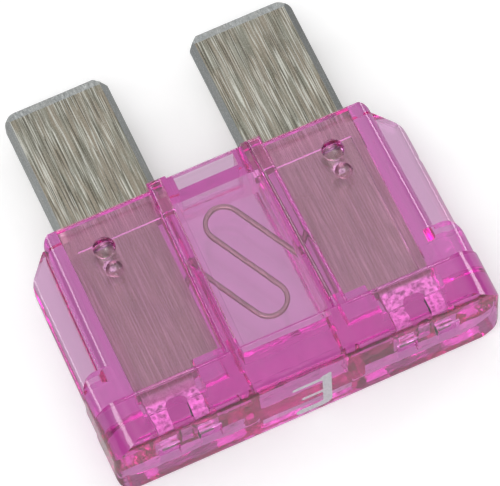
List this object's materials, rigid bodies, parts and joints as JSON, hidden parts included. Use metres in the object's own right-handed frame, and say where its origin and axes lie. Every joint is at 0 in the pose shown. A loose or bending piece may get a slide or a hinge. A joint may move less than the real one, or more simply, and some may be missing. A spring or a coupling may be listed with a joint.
{
  "type": "automotive blade fuse",
  "caption": "Flat plug-in fuse with a clear tinted housing, a wide gripping head, a ribbed window over an S-shaped link, and parallel flat metal blades.",
  "frame": {"origin": "centre of the bounding box in X and Y, at the lowest point in Z: the back of the head, on which the fuse lies", "axes": "+Z is the normal of the broad face with the stake marks, +Y runs along the blades to their tips, X runs across the two blades"},
  "size_m": [0.019, 0.0186, 0.0051],
  "materials": {
    "tinted_plastic": "glossy, clear, tinted pink",
    "blade_metal": "rolled and plated, satin"
  },
  "bodies": {
    "root": {"housing": "tinted_plastic", "stamping": "blade_metal"}
  },
  "joints": []
}
